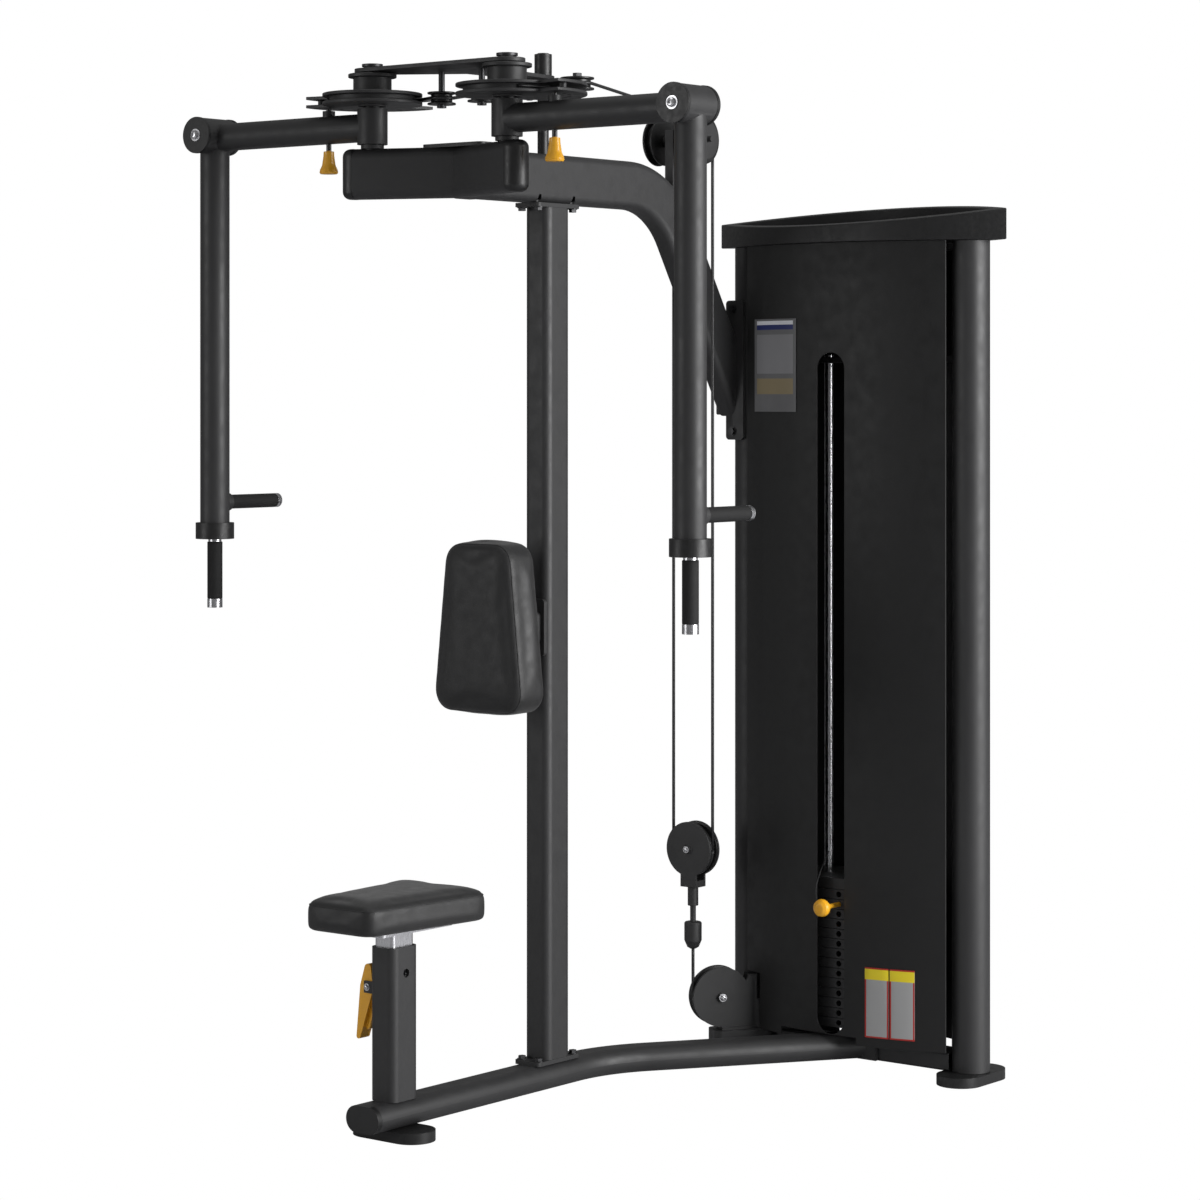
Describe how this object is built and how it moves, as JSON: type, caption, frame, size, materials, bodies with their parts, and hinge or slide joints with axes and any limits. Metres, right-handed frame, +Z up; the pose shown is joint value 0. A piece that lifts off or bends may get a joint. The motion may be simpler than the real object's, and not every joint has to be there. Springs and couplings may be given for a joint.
{
  "type": "pec fly and rear delt machine",
  "caption": "Seated chest fly and rear delt machine: overhead swing arms with drop handles, cam and cable drive, and a shrouded weight stack tower beside the seat.",
  "frame": {"origin": "on the floor, under the centre of the seat post's foot", "axes": "+X across the machine towards the tower, +Y back from the seat to the tower, +Z up"},
  "size_m": [1.2776, 1.354, 2.028],
  "materials": {
    "frame": "charcoal powder coat, fine texture",
    "black_plastic": "moulded satin",
    "pulley_nylon": "satin",
    "shroud": "near-black powder coat",
    "steel": "polished",
    "dark_steel": "black oxide",
    "rubber": "matt, fine texture",
    "stack_iron": "semi-matt",
    "vinyl": "grained vinyl",
    "gold_knob": "amber gold",
    "cable": "nylon jacket over steel rope",
    "placard": "printed laminate, no lettering"
  },
  "bodies": {
    "frame": {"base_beam": "frame", "feet": "black_plastic", "seat_post_tube": "frame", "main_column": "frame", "overhead_spine": "frame", "pivot_yoke": "frame", "yoke_end_caps": "black_plastic", "pivot_axles": "frame", "tie_plate": "frame", "centre_post": "black_plastic", "tower_posts": "frame", "tower_base_rail": "frame", "tower_top_rails": "frame", "frame_bolts": "dark_steel", "front_shroud": "shroud", "rear_shroud": "shroud", "tower_cap": "black_plastic", "guide_rods": "steel", "stack_cushions": "rubber", "lower_plates": "stack_iron", "top_pulley_bracket": "frame", "low_pulley_bracket": "frame", "placards": "placard", "back_pad": "vinyl", "back_pad_bracket": "frame", "fixed_cables": "cable", "drop_cables": "cable", "low_cable": "cable", "lift_cable": "steel"},
    "right_cam": {"right_cam": "frame"},
    "left_cam": {"left_cam": "frame"},
    "right_arm": {"right_arm_frame": "frame", "right_arm_caps": "black_plastic", "right_grips": "rubber", "right_grip_ends": "steel"},
    "left_arm": {"left_arm_frame": "frame", "left_arm_caps": "black_plastic", "left_grips": "rubber", "left_grip_ends": "steel"},
    "right_pop_pin": {"right_pop_pin": "gold_knob"},
    "left_pop_pin": {"left_pop_pin": "gold_knob"},
    "right_inner_pulley": {"right_inner_pulley": "pulley_nylon"},
    "left_inner_pulley": {"left_inner_pulley": "pulley_nylon"},
    "right_rear_pulley": {"right_rear_pulley": "pulley_nylon"},
    "left_rear_pulley": {"left_rear_pulley": "pulley_nylon"},
    "right_top_pulley": {"right_top_pulley": "pulley_nylon"},
    "left_top_pulley": {"left_top_pulley": "pulley_nylon"},
    "trolley": {"trolley_frame": "frame"},
    "trolley_wheel": {"trolley_wheel": "pulley_nylon"},
    "low_pulley": {"low_pulley": "pulley_nylon"},
    "base_pulley": {"base_pulley": "pulley_nylon"},
    "tower_pulley": {"tower_pulley": "pulley_nylon"},
    "carriage": {"head_plate": "stack_iron", "selector_rod": "steel", "lifted_plates": "stack_iron"},
    "selector_pin": {"selector_pin": "gold_knob"},
    "seat": {"seat_slider": "steel", "seat_pad": "vinyl"},
    "seat_lever": {"seat_lever": "gold_knob"}
  },
  "joints": [
    {"name": "right_cam_turn", "type": "hinge", "parent": "frame", "child": "right_cam", "pos_m": [0.167, 0.124, 1.926], "axis": [0, 0, 1], "range_deg": [-90, 0]},
    {"name": "left_cam_turn", "type": "hinge", "parent": "frame", "child": "left_cam", "pos_m": [-0.167, 0.124, 1.926], "axis": [0, 0, 1], "range_deg": [0, 90]},
    {"name": "right_arm_set", "type": "hinge", "parent": "right_cam", "child": "right_arm", "pos_m": [0.167, 0.124, 1.873], "axis": [0, 0, 1], "range_deg": [0, 75]},
    {"name": "left_arm_set", "type": "hinge", "parent": "left_cam", "child": "left_arm", "pos_m": [-0.167, 0.124, 1.873], "axis": [0, 0, 1], "range_deg": [-75, 0]},
    {"name": "right_pin_pull", "type": "slide", "parent": "right_arm", "child": "right_pop_pin", "axis": [0, 0, 1], "range_m": [0, 0.011]},
    {"name": "left_pin_pull", "type": "slide", "parent": "left_arm", "child": "left_pop_pin", "axis": [0, 0, 1], "range_m": [0, 0.011]},
    {"name": "right_inner_spin", "type": "hinge", "parent": "frame", "child": "right_inner_pulley", "pos_m": [0.05, 0.19, 1.926], "axis": [0, 0, 1], "range_deg": [0, 330]},
    {"name": "left_inner_spin", "type": "hinge", "parent": "frame", "child": "left_inner_pulley", "pos_m": [-0.05, 0.19, 1.926], "axis": [0, 0, 1], "range_deg": [-330, 0]},
    {"name": "right_rear_spin", "type": "hinge", "parent": "frame", "child": "right_rear_pulley", "pos_m": [0.06, 0.463, 1.968], "axis": [0, 0, 1], "range_deg": [-260, 0]},
    {"name": "left_rear_spin", "type": "hinge", "parent": "frame", "child": "left_rear_pulley", "pos_m": [-0.06, 0.463, 1.968], "axis": [0, 0, 1], "range_deg": [0, 260]},
    {"name": "right_top_spin", "type": "hinge", "parent": "frame", "child": "right_top_pulley", "pos_m": [0.05, 0.876, 1.885], "axis": [1, 0, 0], "range_deg": [0, 190]},
    {"name": "left_top_spin", "type": "hinge", "parent": "frame", "child": "left_top_pulley", "pos_m": [-0.05, 0.876, 1.885], "axis": [1, 0, 0], "range_deg": [0, 190]},
    {"name": "trolley_rise", "type": "slide", "parent": "frame", "child": "trolley", "axis": [0, 0, 1], "range_m": [0, 0.14], "deforming": ["drop_cables", "low_cable"]},
    {"name": "trolley_wheel_spin", "type": "hinge", "parent": "trolley", "child": "trolley_wheel", "pos_m": [0, 0.918, 0.431], "axis": [0, 1, 0], "continuous": true},
    {"name": "low_spin", "type": "hinge", "parent": "frame", "child": "low_pulley", "pos_m": [0.03269, 0.96469, 0.125], "axis": [0.8192, -0.5736, 0], "range_deg": [-140, 0]},
    {"name": "base_spin", "type": "hinge", "parent": "frame", "child": "base_pulley", "pos_m": [0.09278, 1.05051, 0.104], "axis": [0.8192, -0.5736, 0], "range_deg": [-220, 0]},
    {"name": "tower_spin", "type": "hinge", "parent": "frame", "child": "tower_pulley", "pos_m": [0.20797, 1.08, 1.55], "axis": [0, 1, 0], "range_deg": [-90, 0]},
    {"name": "carriage_lift", "type": "slide", "parent": "frame", "child": "carriage", "axis": [0, 0, 1], "range_m": [0, 0.14], "deforming": ["lift_cable"]},
    {"name": "selector_pin_pull", "type": "slide", "parent": "carriage", "child": "selector_pin", "axis": [0, -1, 0], "range_m": [0, 0.09]},
    {"name": "seat_height", "type": "slide", "parent": "frame", "child": "seat", "axis": [0, 0, 1], "range_m": [0, 0.12]},
    {"name": "seat_lever_tilt", "type": "hinge", "parent": "frame", "child": "seat_lever", "pos_m": [-0.051, 0, 0.272], "axis": [0, 1, 0], "range_deg": [0, 10]}
  ],
  "couplings": [
    {"joint": "left_cam_turn", "follows": "right_cam_turn", "ratio": -1},
    {"joint": "trolley_rise", "follows": "right_cam_turn", "m_per_rad": -0.085},
    {"joint": "carriage_lift", "follows": "right_cam_turn", "m_per_rad": -0.085},
    {"joint": "right_inner_spin", "follows": "right_cam_turn", "ratio": -3.5417},
    {"joint": "left_inner_spin", "follows": "right_cam_turn", "ratio": 3.5417},
    {"joint": "right_rear_spin", "follows": "right_cam_turn", "ratio": 2.8333},
    {"joint": "left_rear_spin", "follows": "right_cam_turn", "ratio": -2.8333},
    {"joint": "right_top_spin", "follows": "right_cam_turn", "ratio": -2.0238},
    {"joint": "left_top_spin", "follows": "right_cam_turn", "ratio": -2.0238},
    {"joint": "low_spin", "follows": "right_cam_turn", "ratio": 1.4912},
    {"joint": "base_spin", "follows": "right_cam_turn", "ratio": 2.3611},
    {"joint": "tower_spin", "follows": "right_cam_turn", "ratio": 0.8992}
  ]
}
